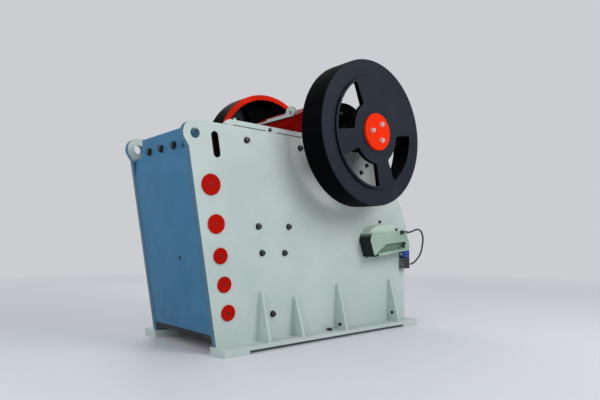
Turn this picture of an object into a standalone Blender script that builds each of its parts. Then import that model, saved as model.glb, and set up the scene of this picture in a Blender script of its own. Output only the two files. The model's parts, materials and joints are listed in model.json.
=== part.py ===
"""Jaw crusher: pinned plate frame, overhead eccentric shaft, pitman, two flywheels."""

import math

import bmesh
import bpy
from mathutils import Matrix, Vector

# Driving dimensions, in metres.
# A station is measured along the machine from its foremost point, +X to the rear.
# A height is measured up from the floor. The near side of the machine is at -Y.

# Frame
inner_width = 1.25
side_thickness = 0.075
front_lean = math.radians(10.0)
front_foot_station = 0.442
lug_radius = 0.136
lug_hole_radius = 0.054
side_top_height = 2.404
lug_drop = 0.147
lug_blend_inset = 0.004
rail_thickness = 0.064
rail_front_station = 0.512
rail_lead = 0.02
rail_end_foot = 0.088
rail_middle_foot = 0.155
rail_relief = 0.010
rail_chamfer_length = 0.045
rail_chamfer_height = 0.040
frame_length = 3.58
rear_top_height = 1.66
rear_top_inset = 0.05
rear_bulge = 0.07
rear_bulge_drops = (0.30, 0.61, 0.86)
shoulder_chamfer_length = 0.04
shoulder_chamfer_height = 0.05
panel_thickness = 0.030
panel_inset = 0.004
panel_bottom_height = 0.135
panel_top_drop = 0.059
panel_upright_height = 0.42
front_end_foot = 0.20
front_end_seat_drop = 0.12
front_end_rise = 0.06
front_end_edge = 0.04
front_end_shelf_stations = (0.06, 0.26)
shackle_pocket_side = 0.467
shackle_pocket_drop = 0.127
shackle_pocket_back = 0.215
touch_gap = 0.0003
weld_lap = 0.010
cut_over = 0.020

# Facets round each kind of turned piece
wheel_steps = 60
journal_steps = 48
pin_steps = 24
# odd, so that no diagonal of the barrel's end runs through a corner of its bore
barrel_steps = 47

# Feet
flange_thickness = 0.042
flange_reach = 0.19
pad_height = 0.036
pad_length = 0.31
foot_front_overhang = 0.02
foot_rear_overhang = 0.03
gusset_thickness = 0.030
gusset_tip_reach = 0.035
gusset_toe_height = 0.020
gusset_stations = (0.99, 1.48, 2.19, 3.22)
gusset_heights = (0.609, 0.508, 0.620, 0.632)

# Frame pins: height, cover radius
frame_pins = ((1.743, 0.113), (1.337, 0.102), (1.006, 0.086), (0.708, 0.085), (0.413, 0.085))
pin_depth_behind_front = 0.194
pin_radius = 0.055
pin_bite = 0.12
pin_end_gap = 0.002
pin_chamfer = 0.004
cover_thickness = 0.014
slot_drop = 0.095
slot_length = 0.277
slot_depth_behind_front = 0.32
slot_width = 0.085

# Crushing chamber
chamber_station = 1.1715
jaw_lean = math.radians(10.3)
discharge_gap = 0.21
discharge_height = 0.40
jaw_top_rise = 0.066
die_foot_drop = 0.020
die_top_gap = 0.004
die_thickness = 0.085
tooth_depth = 0.035
tooth_pitch = 0.088
tooth_shares = (0.20, 0.38, 0.82)
cheek_thickness = 0.035
cheek_bottom_height = 0.45
cheek_overlap = 0.12
cheek_top_drop = 0.010
pitman_side_gap = 0.015

# Shaft and bearings
shaft_station = 2.3275
shaft_height = 2.496
eccentric_throw = 0.016
eccentric_angle = math.radians(240.0)
eccentric_radius = 0.210
journal_radius = 0.170
shaft_end_radius = 0.130
running_clearance = 0.0008
eccentric_side_gap = 0.018
journal_side_gap = 0.020
shaft_end_recess = 0.004
housing_radius = 0.46
housing_stand_out = 0.045
housing_stand_in = 0.012
housing_flange_width = 0.11
housing_flange_thickness = 0.035
bearing_radius = 0.30
bearing_cover_radius = 0.35
bearing_cover_thickness = 0.030
bearing_cover_chamfer = 0.010
ear_length = 0.13
ear_height = 0.075

# Flywheels
wheel_radius = 0.904
wheel_width = 0.349
wheel_gap = 0.173
rim_thickness = 0.082
web_radius = 0.70
web_thickness = 0.058
web_proud = 0.028
web_chamfer = 0.006
web_blend = 0.030
wheel_hub_radius = 0.20
window_inner_radius = 0.390
window_outer_radius = 0.668
window_inner_span = math.radians(55.0)
window_outer_span = math.radians(63.0)
window_angles = (math.radians(153.5), math.radians(243.0), math.radians(332.5))
window_corner = 0.022
counterweight_thickness = 0.10
counterweight_span = math.radians(102.0)
counterweight_corner = 0.004
rim_chamfer = 0.010
hub_cap_radius = 0.229
hub_cap_thickness = 0.030
hub_cap_chamfer = 0.006

# Pitman
barrel_radius = 0.53
barrel_side_gap = 0.025
barrel_skin = 0.004
barrel_back_angle = math.radians(-57.0)
nose_reach = 0.753
nose_rise = 0.227
nose_face = 0.10
nose_toe = 0.03
pocket_wall = 0.13
pocket_rib = 0.07
pocket_count = 3
pocket_bottom_height = 0.95
pocket_top_height = 1.85
pocket_reach = 1.2
pocket_roof_fall = 0.12
pocket_corner_length = 0.10
pocket_corner_height = 0.08
# the pitman's lower back, along and across the toggle from its front end
pitman_tail = ((-0.045, 0.20), (-0.085, 0.115), (-0.02, 0.105), (-0.02, -0.105), (-0.10, -0.23))
pitman_toe_length = 0.20
pitman_toe_drop = 0.045
guard_height = 0.030
guard_start = 0.080
guard_lap = 0.012
guard_low_height = 0.010
guard_thickness = 0.030
guard_lug_radius = 0.088
guard_lug_hole_radius = 0.030
guard_lug_inset = 0.015

# Toggle and setting wedges
toggle_tilt = math.radians(24.0)
toggle_front_station = 1.885
toggle_front_height = 0.675
toggle_length = 0.76
toggle_end_radius = 0.055
toggle_web_thickness = 0.055
toggle_half_width = 0.52
seat_thickness = 0.15
seat_front_gap = 0.012
seat_side_gap = 0.004
seat_height = 0.26
wedge_thin = 0.065
wedge_thick = 0.105
wedge_height = 0.22
wedge_stick_out = 0.05
wedge_window_gap = 0.012
moving_clearance = 0.006
adjuster_reach = 0.20
adjuster_wall = 0.05
adjuster_hood_reach = 0.15
adjuster_recess_depth = 0.030
# outlines of an adjuster, measured from its hose port
adjuster_body = ((-0.785, -0.095), (-0.750, -0.004), (0.0, 0.035), (0.0, -0.035), (0.055, -0.142),
                 (0.045, -0.233), (-0.700, -0.318))
adjuster_hood = ((-0.750, -0.030), (-0.680, 0.060), (-0.540, 0.105), (-0.384, 0.120), (-0.250, 0.110),
                 (-0.140, 0.075), (-0.060, 0.030), (-0.080, -0.030))
adjuster_recess = ((-0.660, -0.275), (-0.460, -0.150), (-0.060, -0.120), (-0.060, -0.205))

# Tension rod and spring
rod_radius = 0.028
rod_pin_radius = 0.024
rod_pin_half = 0.09
rod_ear_radius = 0.065
rod_ear_inner = 0.045
rod_ear_outer = 0.075
rod_ear_root_height = 0.46
rod_ear_root_half = 0.055
rod_eye_wall = 0.035
rod_eye_half = 0.030
rod_eye_station = 1.76
rod_eye_height = 0.245
rod_tilt = math.radians(8.0)
spring_length = 0.33
spring_radius = 0.080
spring_wire_radius = 0.016
spring_turns = 5
spring_steps = 12
spring_end_ground = 0.0008
spring_plate_thickness = 0.10
spring_plate_height = 0.28
spring_plate_half_width = 0.20
spring_bracket_bite = 0.07
spring_bracket_setback = 0.03
spring_bracket_root = 0.19
spring_cap_thickness = 0.035
spring_cap_overhang = 0.02
rod_tail = 0.07
rear_end_half_height = 0.30
rear_end_low_height = 0.78
rear_end_low_length = 0.24
rear_end_top_length = 0.42
rear_end_corner = 0.10

# Hydraulics
hose_radius = 0.0125
hose_port_station = 3.40
hose_port_height = 1.275
block_station = 3.475
block_length = 0.12
block_low_height = 0.78
block_front_height = 1.11
block_rear_height = 1.15
block_depth = 0.09
hose_end_height = 0.84
hose_port_leads = (0.03, 0.06)
hose_block_leads = (0.105, 0.065, 0.035)
hose_loop = ((3.530, 1.280), (3.627, 1.290), (3.750, 1.315), (3.850, 1.342), (3.950, 1.315), (3.995, 1.220),
             (3.982, 1.114), (3.935, 0.995), (3.860, 0.920), (3.770, 0.862))

# Worked out from the driving dimensions
half_inner = inner_width / 2
half_outer = half_inner + side_thickness
lug_height = side_top_height - lug_drop
panel_top_height = side_top_height - panel_top_drop
panel_bend_height = panel_top_height - panel_upright_height
shackle_pocket_bottom = lug_height - shackle_pocket_drop
slot_top_height = side_top_height - slot_drop
slot_bottom_height = slot_top_height - slot_length
jaw_top_height = side_top_height + jaw_top_rise
nose_height = jaw_top_height + nose_rise
die_foot_height = discharge_height - die_foot_drop
flange_bottom = pad_height
flange_top = pad_height + flange_thickness
side_bottom = flange_top + touch_gap
wheel_inner_y = half_outer + wheel_gap
wheel_outer_y = wheel_inner_y + wheel_width
cos_front = math.cos(front_lean)
split_height = shaft_height
eccentric_station = shaft_station + eccentric_throw * math.cos(eccentric_angle)
eccentric_height = shaft_height + eccentric_throw * math.sin(eccentric_angle)
nose_station = eccentric_station - nose_reach
pitman_half = half_inner - cheek_thickness - pitman_side_gap
barrel_half = half_inner - barrel_side_gap
toggle_axis = (math.cos(toggle_tilt), math.sin(toggle_tilt))
toggle_cross = (-math.sin(toggle_tilt), math.cos(toggle_tilt))
open_pivot_gap = eccentric_throw * (1 - math.cos(eccentric_angle - toggle_tilt)) + moving_clearance
rod_axis = (math.cos(rod_tilt), math.sin(rod_tilt))
spring_seat_distance = (frame_length - rod_eye_station) / math.cos(rod_tilt)
rod_length = spring_seat_distance + spring_length + spring_cap_thickness + rod_tail
overall_length = rod_eye_station + rod_length * math.cos(rod_tilt) + rod_radius * math.sin(rod_tilt)
origin_station = overall_length / 2

for old in list(bpy.data.objects):
    bpy.data.objects.remove(old, do_unlink=True)

parts = bpy.data.collections.new("jaw_crusher")
cutters = bpy.data.collections.new("cutters")
bpy.context.scene.collection.children.link(parts)
bpy.context.scene.collection.children.link(cutters)


def make_material(name, colour, roughness, metallic=0.0):
    material = bpy.data.materials.new(name)
    material.use_nodes = True
    shader = material.node_tree.nodes["Principled BSDF"]
    shader.inputs["Base Color"].default_value = (*colour, 1.0)
    shader.inputs["Roughness"].default_value = roughness
    shader.inputs["Metallic"].default_value = metallic
    return material


mint_paint = make_material("mint_paint", (0.50, 0.60, 0.56), 0.45)
blue_paint = make_material("blue_paint", (0.08, 0.20, 0.34), 0.45)
red_paint = make_material("red_paint", (0.36, 0.01, 0.01), 0.45)
orange_paint = make_material("orange_paint", (0.75, 0.06, 0.02), 0.40)
black_paint = make_material("black_paint", (0.03, 0.035, 0.045), 0.45)
jaw_steel = make_material("jaw_steel", (0.30, 0.29, 0.28), 0.55, 0.9)
bright_steel = make_material("bright_steel", (0.62, 0.62, 0.63), 0.30, 1.0)
hydraulic_blue = make_material("hydraulic_blue", (0.05, 0.12, 0.45), 0.40)
hose_rubber = make_material("hose_rubber", (0.02, 0.02, 0.02), 0.60)


# Shape helpers

def along(station):
    """World X of a station."""
    return station - origin_station


def front_station(height, depth=0.0):
    """Station of the plane that lies depth behind the frame's leaning front."""
    return front_foot_station - height * math.tan(front_lean) + depth / cos_front


def jaw_half_gap(height):
    return discharge_gap / 2 + (height - discharge_height) * math.tan(jaw_lean)


def fixed_face(height):
    return chamber_station - jaw_half_gap(height)


def moving_face(height):
    return chamber_station + jaw_half_gap(height)


def seat_depth():
    """How far a die's seat lies behind its teeth, measured level."""
    return (die_thickness + tooth_depth + touch_gap) / math.cos(jaw_lean)


def fixed_seat(height):
    return fixed_face(height) - seat_depth()


def moving_seat(height):
    return moving_face(height) + seat_depth()


def arc(centre, radius, start, end, steps):
    """Points on an arc in the station and height plane, angles in radians."""
    points = []
    for step in range(steps + 1):
        angle = start + (end - start) * step / steps
        points.append((centre[0] + radius * math.cos(angle), centre[1] + radius * math.sin(angle)))
    return points


def circle(centre, radius, steps=32):
    return arc(centre, radius, 0.0, 2 * math.pi, steps)[:-1]


def on_toggle(distance, offset=0.0):
    """Point on the toggle's axis, from its front end's centre, and offset across it."""
    return (toggle_front_station + distance * toggle_axis[0] + offset * toggle_cross[0],
            toggle_front_height + distance * toggle_axis[1] + offset * toggle_cross[1])


def on_rod(distance, offset=0.0):
    return (rod_eye_station + distance * rod_axis[0] - offset * rod_axis[1],
            rod_eye_height + distance * rod_axis[1] + offset * rod_axis[0])


def new_object(name, mesh, material):
    piece = bpy.data.objects.new(name, mesh)
    parts.objects.link(piece)
    if material is not None:
        mesh.materials.clear()
        mesh.materials.append(material)
    return piece


def curve_to_piece(name, source, material):
    """Turn a curve object into a welded mesh piece and remove the curve."""
    bpy.context.view_layer.update()
    graph = bpy.context.evaluated_depsgraph_get()
    mesh = bpy.data.meshes.new_from_object(source.evaluated_get(graph))
    mesh.name = name
    shape = bmesh.new()
    shape.from_mesh(mesh)
    bmesh.ops.remove_doubles(shape, verts=shape.verts, dist=0.00001)
    shape.to_mesh(mesh)
    shape.free()
    piece = new_object(name, mesh, material)
    piece.matrix_world = source.matrix_world
    bpy.data.objects.remove(source, do_unlink=True)
    return piece


def flat_curve(name, loops, thickness):
    curve = bpy.data.curves.new(name, "CURVE")
    curve.dimensions = "2D"
    curve.fill_mode = "BOTH"
    curve.extrude = thickness / 2
    for loop in loops:
        spline = curve.splines.new("POLY")
        spline.points.add(len(loop) - 1)
        for point, (first, second) in zip(spline.points, loop):
            point.co = (first, second, 0.0, 1.0)
        spline.use_cyclic_u = True
    source = bpy.data.objects.new(name, curve)
    parts.objects.link(source)
    return source


def profile_plate(name, outline, low_y, high_y, material=None, holes=()):
    """An outline of stations and heights, extruded across the machine."""
    source = flat_curve(name + "_outline", [outline, *holes], high_y - low_y)
    source.rotation_euler = (math.pi / 2, 0.0, 0.0)
    source.location = (-origin_station, (low_y + high_y) / 2, 0.0)
    return curve_to_piece(name, source, material)


def cross_bar(name, outline, centre, direction, length, material=None):
    """An outline of Y and depth, extruded both ways along the direction given by (station, height)."""
    depth_axis = Vector((direction[1], 0.0, -direction[0]))
    width_axis = Vector((0.0, 1.0, 0.0))
    length_axis = width_axis.cross(depth_axis)
    source = flat_curve(name + "_outline", [outline], length)
    turn = Matrix((width_axis, depth_axis, length_axis)).transposed().to_4x4()
    source.matrix_world = Matrix.Translation((along(centre[0]), 0.0, centre[1])) @ turn
    return curve_to_piece(name, source, material)


def turned(name, profile, centre, material=None, steps=64, closed=False):
    """A profile of radius and Y, outer side from high Y to low Y, turned about Y."""
    mesh = bpy.data.meshes.new(name)
    shape = bmesh.new()
    points = [shape.verts.new((radius, 0.0, place)) for radius, place in profile]
    for first, second in zip(points, points[1:]):
        shape.edges.new((first, second))
    if closed:
        shape.edges.new((points[-1], points[0]))
    shape.to_mesh(mesh)
    shape.free()
    piece = new_object(name, mesh, material)
    piece.rotation_euler = (-math.pi / 2, 0.0, 0.0)
    piece.location = (along(centre[0]), 0.0, centre[1])
    screw = piece.modifiers.new("turn", "SCREW")
    screw.axis = "Z"
    screw.angle = 2 * math.pi
    screw.steps = steps
    screw.render_steps = steps
    screw.use_merge_vertices = True
    screw.merge_threshold = 0.00001
    return piece


def cylinder_y(name, centre, radius, low_y, high_y, material=None, steps=32):
    profile = [(0.0, high_y), (radius, high_y), (radius, low_y), (0.0, low_y)]
    return turned(name, profile, centre, material, steps)


def combine(target, tool, operation):
    """Join or cut with another piece, which becomes a hidden cutter."""
    step = target.modifiers.new(operation.lower(), "BOOLEAN")
    step.operation = operation
    step.solver = "EXACT"
    step.object = tool
    tool.hide_render = True
    tool.display_type = "WIRE"
    parts.objects.unlink(tool)
    cutters.objects.link(tool)


def cut(target, tool):
    combine(target, tool, "DIFFERENCE")


def join(target, tool):
    combine(target, tool, "UNION")


def sides():
    return (("left", -1), ("right", 1))


def span(sign, near, far):
    """A Y range from near to far of the middle plane, on the side given by sign."""
    return (near, far) if sign > 0 else (-far, -near)


# Frame

def lug_blend_points():
    """The front edge, its concave run into the lug, and the lug's rim up to the top edge."""
    centre = (lug_radius, lug_height)
    rim = arc(centre, lug_radius, math.radians(208), math.radians(82), 18)
    blend = (front_station(lug_height - 1.15 * lug_radius) - lug_blend_inset, lug_height - 1.02 * lug_radius)
    low = (front_station(lug_height - 1.5 * lug_radius), lug_height - 1.5 * lug_radius)
    return [low, blend] + rim


def side_outline():
    seat_radius = housing_radius + touch_gap
    shoulder = housing_radius + ear_length
    shoulder_front = shaft_station - shoulder
    shoulder_rear = shaft_station + shoulder
    seat = arc((shaft_station, shaft_height), seat_radius, math.pi, 2 * math.pi, 20)
    outline = [(front_station(side_bottom), side_bottom)]
    outline += lug_blend_points()
    outline += [(rail_front_station - rail_lead, side_top_height)]
    outline += [(shoulder_front, side_top_height), (shoulder_front, split_height)]
    outline += seat
    outline += [(shoulder_rear, split_height),
                (shoulder_rear + shoulder_chamfer_length, split_height - shoulder_chamfer_height)]
    high, low, end = [rear_top_height - drop for drop in rear_bulge_drops]
    outline += [(frame_length - rear_top_inset, rear_top_height)]
    outline += [(frame_length + rear_bulge, high), (frame_length + rear_bulge, low)]
    outline += [(frame_length, end), (frame_length, side_bottom)]
    return outline


def pin_centre(height):
    return (front_station(height, pin_depth_behind_front), height)


def slot_outline():
    top_height = slot_top_height - slot_width / 2
    low_height = slot_bottom_height + slot_width / 2
    top = (front_station(top_height, slot_depth_behind_front), top_height)
    low = (front_station(low_height, slot_depth_behind_front), low_height)
    upper = arc(top, slot_width / 2, front_lean, front_lean + math.pi, 7)
    lower = arc(low, slot_width / 2, front_lean + math.pi, front_lean + 2 * math.pi, 7)
    return upper + lower


def wedge_window():
    """The hole in each side plate that a setting wedge comes out through."""
    start = toggle_length + seat_thickness - wedge_window_gap
    end = start + wedge_thin + wedge_thick + 2 * wedge_window_gap
    half = wedge_height / 2 + wedge_window_gap
    return [on_toggle(start, -half), on_toggle(end, -half), on_toggle(end, half), on_toggle(start, half)]


def make_side_plates():
    holes = [circle((lug_radius, lug_height), lug_hole_radius, 24), slot_outline(), wedge_window()]
    for height, radius in frame_pins:
        holes.append(circle(pin_centre(height), pin_radius + touch_gap, pin_steps))
    for name, sign in sides():
        low, high = span(sign, half_inner, half_outer)
        profile_plate("side_plate_" + name, side_outline(), low, high, mint_paint, holes)


def make_front():
    half = half_inner - touch_gap
    back = panel_inset + panel_thickness
    low, bend, high = panel_bottom_height, panel_bend_height, panel_top_height
    panel = [(front_station(low, panel_inset), low), (front_station(low, back), low),
             (front_station(bend, back), bend), (front_station(bend, back), high),
             (front_station(bend, panel_inset), high), (front_station(bend, panel_inset), bend)]
    front_panel = profile_plate("front_panel", panel, -half, half, blue_paint)

    start = back + touch_gap
    low_seat = discharge_height - front_end_seat_drop
    top_seat = high + front_end_rise
    upright = front_station(bend, start)
    ramp, shelf = front_end_shelf_stations
    casting = [(front_station(low, start), low),
               (fixed_seat(low_seat) - front_end_foot, low),
               (fixed_seat(low_seat), low_seat),
               (fixed_seat(top_seat), top_seat),
               (upright + shelf, top_seat), (upright + ramp, high),
               (upright, high - front_end_edge), (upright, bend)]
    front_end = profile_plate("front_end", casting, -half, half, red_paint)
    pocket = [(-lug_radius, shackle_pocket_bottom), (shackle_pocket_back, shackle_pocket_bottom),
              (shackle_pocket_back, 2 * top_seat), (-lug_radius, 2 * top_seat)]
    for name, sign in sides():
        low_y, high_y = span(sign, shackle_pocket_side, half_outer)
        for piece in (front_panel, front_end):
            cut(piece, profile_plate("shackle_pocket", pocket, low_y, high_y))
    for height, radius in frame_pins:
        for name, sign in sides():
            bore_low, bore_high = span(sign, half_inner - pin_bite - pin_end_gap, half_outer)
            bore = cylinder_y("pin_bore", pin_centre(height), pin_radius + touch_gap, bore_low, bore_high,
                              steps=pin_steps)
            cut(front_end, bore)


def make_pins():
    for name, sign in sides():
        for number, (height, radius) in enumerate(frame_pins, 1):
            outer = half_outer + touch_gap
            rim = outer + cover_thickness
            inner = half_inner - pin_bite
            profile = [(0.0, rim), (radius - pin_chamfer, rim), (radius, rim - pin_chamfer), (radius, outer),
                       (pin_radius, outer), (pin_radius, inner), (0.0, inner)]
            if sign < 0:
                profile = [(size, -place) for size, place in reversed(profile)]
            turned(f"frame_pin_{name}_{number}", profile, pin_centre(height), orange_paint, pin_steps)


def make_rails():
    """Bars along the plates' top edges, standing on three feet."""
    rear = shaft_station - housing_radius - ear_length - touch_gap
    low = side_top_height + touch_gap
    high = low + rail_thickness
    front = rail_front_station
    first, last = front + rail_end_foot, rear - rail_end_foot
    middle_front = (front + rear - rail_middle_foot) / 2
    middle_rear = middle_front + rail_middle_foot
    relief = low + rail_relief
    outline = [(front, low), (first, low), (first, relief), (middle_front, relief),
               (middle_front, low), (middle_rear, low), (middle_rear, relief),
               (last, relief), (last, low), (rear, low), (rear, high),
               (front + rail_chamfer_length, high), (front, high - rail_chamfer_height)]
    for name, sign in sides():
        low_y, high_y = span(sign, half_inner, half_outer)
        profile_plate("top_rail_" + name, outline, low_y, high_y, mint_paint)


def make_feet():
    """A flange under each side plate, its gussets and its two pads, in one weldment."""
    front = front_station(side_bottom) - foot_front_overhang
    rear = frame_length + foot_rear_overhang
    outline = [(front, flange_bottom), (front, 0.0), (front + pad_length, 0.0),
               (front + pad_length, flange_bottom), (rear - pad_length, flange_bottom),
               (rear - pad_length, 0.0), (rear, 0.0), (rear, flange_top), (front, flange_top)]
    for name, sign in sides():
        low_y, high_y = span(sign, half_inner - weld_lap, half_outer + flange_reach)
        foot = profile_plate("foot_" + name, outline, low_y, high_y, mint_paint)
        for station, height in zip(gusset_stations, gusset_heights):
            join(foot, make_gusset(station, height, sign))


def make_gusset(station, height, sign):
    near = half_outer + touch_gap
    tip = near + gusset_tip_reach
    foot_tip = half_outer + flange_reach - weld_lap
    root = flange_top - weld_lap
    outline = [(near, root), (foot_tip, root), (foot_tip, flange_top + gusset_toe_height),
               (tip, height), (near, height)]
    outline = [(sign * reach, level) for reach, level in outline]
    source = flat_curve("gusset_outline", [outline], gusset_thickness)
    turn = Matrix(((0.0, 0.0, 1.0), (1.0, 0.0, 0.0), (0.0, 1.0, 0.0))).to_4x4()
    source.matrix_world = Matrix.Translation((along(station), 0.0, 0.0)) @ turn
    return curve_to_piece("gusset", source, None)


# Crushing chamber

def die_outline(half_width, back, crest):
    """Teeth across the jaw: Y against depth, with the flat back at the first value of depth."""
    count = int(2 * half_width / tooth_pitch)
    pitch = 2 * half_width / count
    side = 1 if crest > back else -1
    valley = crest - side * tooth_depth
    points = [(-half_width, back)]
    root, rise, fall = [share * pitch for share in tooth_shares]
    for number in range(count):
        start = -half_width + number * pitch
        points += [(start, valley), (start + root, valley), (start + rise, crest), (start + fall, crest)]
    points += [(half_width, valley), (half_width, back)]
    return points


def make_dies():
    """Toothed liners, square to their jaws and set between the top and discharge heights."""
    thickness = die_thickness + tooth_depth
    low, high = die_foot_height, jaw_top_height
    middle = (low + high) / 2
    length = (high - low) / math.cos(jaw_lean)
    fixed_up = (-math.sin(jaw_lean), math.cos(jaw_lean))
    moving_up = (math.sin(jaw_lean), math.cos(jaw_lean))
    fixed_half = half_inner - touch_gap
    fixed = die_outline(fixed_half, -thickness, 0.0)
    cross_bar("fixed_jaw_die", fixed, (fixed_face(middle), middle), fixed_up, length, red_paint)
    moving = die_outline(pitman_half, thickness, 0.0)
    cross_bar("moving_jaw_die", moving, (moving_face(middle), middle), moving_up, length, jaw_steel)


def make_cheeks():
    low, high = cheek_bottom_height, side_top_height - cheek_top_drop
    outline = [(fixed_face(low) + touch_gap, low), (moving_face(low) + cheek_overlap, low),
               (moving_face(high) + cheek_overlap, high), (fixed_face(high) + touch_gap, high)]
    for name, sign in sides():
        low_y, high_y = span(sign, half_inner - cheek_thickness, half_inner - touch_gap)
        profile_plate("cheek_plate_" + name, outline, low_y, high_y, jaw_steel)


# Shaft, bearings and wheels

def make_bearings():
    centre = (shaft_station, shaft_height)
    inside = half_inner - housing_stand_in
    outside = half_outer + housing_stand_out
    bore = bearing_radius + touch_gap
    flange_radius = housing_radius + housing_flange_width
    for name, sign in sides():
        low_y, high_y = span(sign, inside, outside)
        inner = arc(centre, bore, 2 * math.pi, math.pi, journal_steps // 2)
        lower = arc(centre, housing_radius, math.pi, 2 * math.pi, 20) + inner
        base = profile_plate("bearing_base_" + name, lower, low_y, high_y, mint_paint)
        rim = arc(centre, flange_radius, math.pi, 2 * math.pi, 20) + inner
        rim_low, rim_high = span(sign, half_outer + touch_gap, half_outer + housing_flange_thickness)
        join(base, profile_plate("bearing_flange", rim, rim_low, rim_high))

        lift = split_height + touch_gap
        raised = (shaft_station, lift)
        upper = [(shaft_station + housing_radius + ear_length, lift),
                 (shaft_station + housing_radius + ear_length, lift + ear_height)]
        knee = math.asin(ear_height / housing_radius)
        upper += arc(centre, housing_radius, knee, math.pi - knee, 18)
        upper += [(shaft_station - housing_radius - ear_length, lift + ear_height),
                  (shaft_station - housing_radius - ear_length, lift)]
        upper += arc(raised, bore, math.pi, 0.0, journal_steps // 2)
        profile_plate("bearing_cap_" + name, upper, low_y, high_y, black_paint)

        cover = outside + touch_gap
        end = cover + bearing_cover_thickness
        hole = journal_radius + running_clearance
        radius, chamfer = bearing_cover_radius, bearing_cover_chamfer
        profile = [(hole, end), (radius - chamfer, end), (radius, cover), (bearing_radius, cover),
                   (bearing_radius, inside), (hole, inside)]
        if sign < 0:
            profile = [(size, -place) for size, place in reversed(profile)]
        turned("bearing_" + name, profile, centre, black_paint, journal_steps, closed=True)


def make_shaft():
    end = wheel_outer_y + web_proud - shaft_end_recess
    journal_end = wheel_inner_y - journal_side_gap
    profile = [(0.0, end), (shaft_end_radius, end), (shaft_end_radius, journal_end),
               (journal_radius, journal_end), (journal_radius, -journal_end),
               (shaft_end_radius, -journal_end), (shaft_end_radius, -end), (0.0, -end)]
    shaft = turned("eccentric_shaft", profile, (shaft_station, shaft_height), bright_steel, journal_steps)
    reach = half_inner - eccentric_side_gap
    centre = (eccentric_station, eccentric_height)
    join(shaft, cylinder_y("eccentric", centre, eccentric_radius, -reach, reach, steps=journal_steps))
    return shaft


def sector_outline(centre, radii, middle, spans, corner, steps=6):
    """A ring sector with its own span at each radius, and its four corners cut by short arcs."""
    inner, outer = radii
    inner_start, inner_end = middle - spans[0] / 2, middle + spans[0] / 2
    outer_start, outer_end = middle - spans[1] / 2, middle + spans[1] / 2
    inner_trim, outer_trim = corner / inner, corner / outer
    near, far = inner + 0.3 * corner, outer - 0.3 * corner
    points = arc(centre, outer, outer_start + outer_trim, outer_end - outer_trim, steps)
    high, low = polar(centre, outer, outer_end), polar(centre, inner, inner_end)
    points += [polar(centre, far, outer_end - 0.25 * outer_trim), toward(high, low, corner)]
    points += [toward(low, high, corner), polar(centre, near, inner_end - 0.25 * inner_trim)]
    points += arc(centre, inner, inner_end - inner_trim, inner_start + inner_trim, steps)
    high, low = polar(centre, outer, outer_start), polar(centre, inner, inner_start)
    points += [polar(centre, near, inner_start + 0.25 * inner_trim), toward(low, high, corner)]
    points += [toward(high, low, corner), polar(centre, far, outer_start + 0.25 * outer_trim)]
    return points


def toward(start, end, distance):
    share = distance / math.dist(start, end)
    return (start[0] + (end[0] - start[0]) * share, start[1] + (end[1] - start[1]) * share)


def polar(centre, radius, angle):
    return (centre[0] + radius * math.cos(angle), centre[1] + radius * math.sin(angle))


def make_flywheel(name, sign):
    centre = (shaft_station, shaft_height)
    face = wheel_outer_y + web_proud
    web_back = face - web_thickness
    inner_radius = wheel_radius - rim_thickness
    bore = shaft_end_radius + touch_gap
    chamfer = rim_chamfer
    profile = [(bore, face), (web_radius - web_chamfer, face), (web_radius, face - web_chamfer),
               (web_radius, wheel_outer_y),
               (wheel_radius - chamfer, wheel_outer_y), (wheel_radius, wheel_outer_y - chamfer),
               (wheel_radius, wheel_inner_y + chamfer), (wheel_radius - chamfer, wheel_inner_y),
               (inner_radius, wheel_inner_y), (inner_radius, web_back - web_blend),
               (inner_radius - web_blend, web_back), (wheel_hub_radius, web_back),
               (wheel_hub_radius, wheel_inner_y), (bore, wheel_inner_y)]
    if sign < 0:
        profile = [(size, -place) for size, place in reversed(profile)]
    wheel = turned("flywheel_" + name, profile, centre, black_paint, wheel_steps, closed=True)
    weight_middle = eccentric_angle + math.pi
    weight_low, weight_high = span(sign, web_back - counterweight_thickness, web_back + weld_lap)
    weight_radii = (wheel_hub_radius - weld_lap, inner_radius + weld_lap)
    weight_spans = (counterweight_span, counterweight_span)
    weight = sector_outline(centre, weight_radii, weight_middle, weight_spans, counterweight_corner, 10)
    join(wheel, profile_plate("counterweight", weight, weight_low, weight_high))
    low_y, high_y = span(sign, web_back - cut_over, face + cut_over)
    for middle in window_angles:
        window = sector_outline(centre, (window_inner_radius, window_outer_radius), middle,
                                (window_inner_span, window_outer_span), window_corner)
        cut(wheel, profile_plate("window", window, low_y, high_y))
    return wheel


def make_wheels():
    centre = (shaft_station, shaft_height)
    rotor = [make_shaft()]
    for name, sign in sides():
        rotor.append(make_flywheel(name, sign))
        low = wheel_outer_y + web_proud + touch_gap
        high = low + hub_cap_thickness
        radius, chamfer = hub_cap_radius, hub_cap_chamfer
        profile = [(0.0, high), (radius - chamfer, high), (radius, high - chamfer), (radius, low), (0.0, low)]
        if sign < 0:
            profile = [(size, -place) for size, place in reversed(profile)]
        rotor.append(turned("hub_cap_" + name, profile, centre, orange_paint, wheel_steps))
    return rotor


# Pitman

def pitman_outline():
    centre = (eccentric_station, eccentric_height)
    low = die_foot_height
    top = jaw_top_height + die_top_gap
    seat_low = (moving_seat(low), low)
    seat_high = (moving_seat(top), top)
    nose = (nose_station, nose_height)
    radius = barrel_radius - barrel_skin
    reach = math.hypot(centre[0] - nose[0], centre[1] - nose[1])
    bearing = math.atan2(nose[1] - centre[1], nose[0] - centre[0]) % (2 * math.pi)
    top_angle = bearing - math.acos(radius / reach)
    outline = [seat_low, seat_high, (nose_station + nose_toe, jaw_top_height + nose_toe),
               (nose_station, nose_height - nose_face), nose]
    outline += arc(centre, radius, top_angle, barrel_back_angle, 12)
    outline += [on_toggle(distance, offset) for distance, offset in pitman_tail]
    outline += [(seat_low[0] + pitman_toe_length, low - pitman_toe_drop)]
    return outline


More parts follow.
